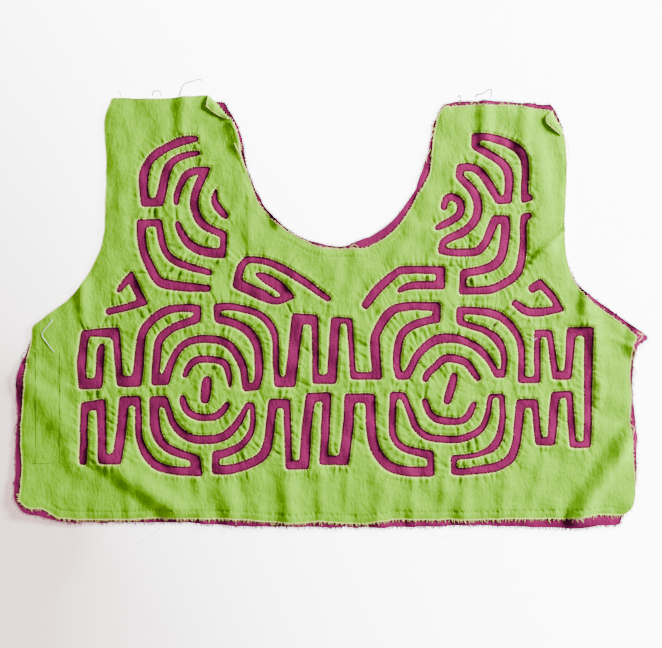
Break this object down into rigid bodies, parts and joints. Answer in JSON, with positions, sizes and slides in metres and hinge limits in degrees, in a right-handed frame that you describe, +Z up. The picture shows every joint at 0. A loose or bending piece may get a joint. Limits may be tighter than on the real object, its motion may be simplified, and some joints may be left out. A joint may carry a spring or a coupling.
{
  "type": "mola panel",
  "caption": "Two layers of cotton cut as a sleeveless blouse front with a scooped neck and two straps, the top one cut through in labyrinth channels that show the lower one",
  "frame": {"origin": "centre of the panel's bounding box on the plane it lies on", "axes": "+X across the panel from the left strap to the right one as seen, +Y from the hem to the straps, +Z up off the surface it lies on"},
  "size_m": [0.475, 0.3245, 0.0068],
  "materials": {
    "plum_cotton": "matte plain weave, plum",
    "green_cotton": "matte plain weave, lime green"
  },
  "bodies": {
    "root": {"under_cloth": "plum_cotton", "top_cloth": "green_cotton"}
  },
  "joints": []
}
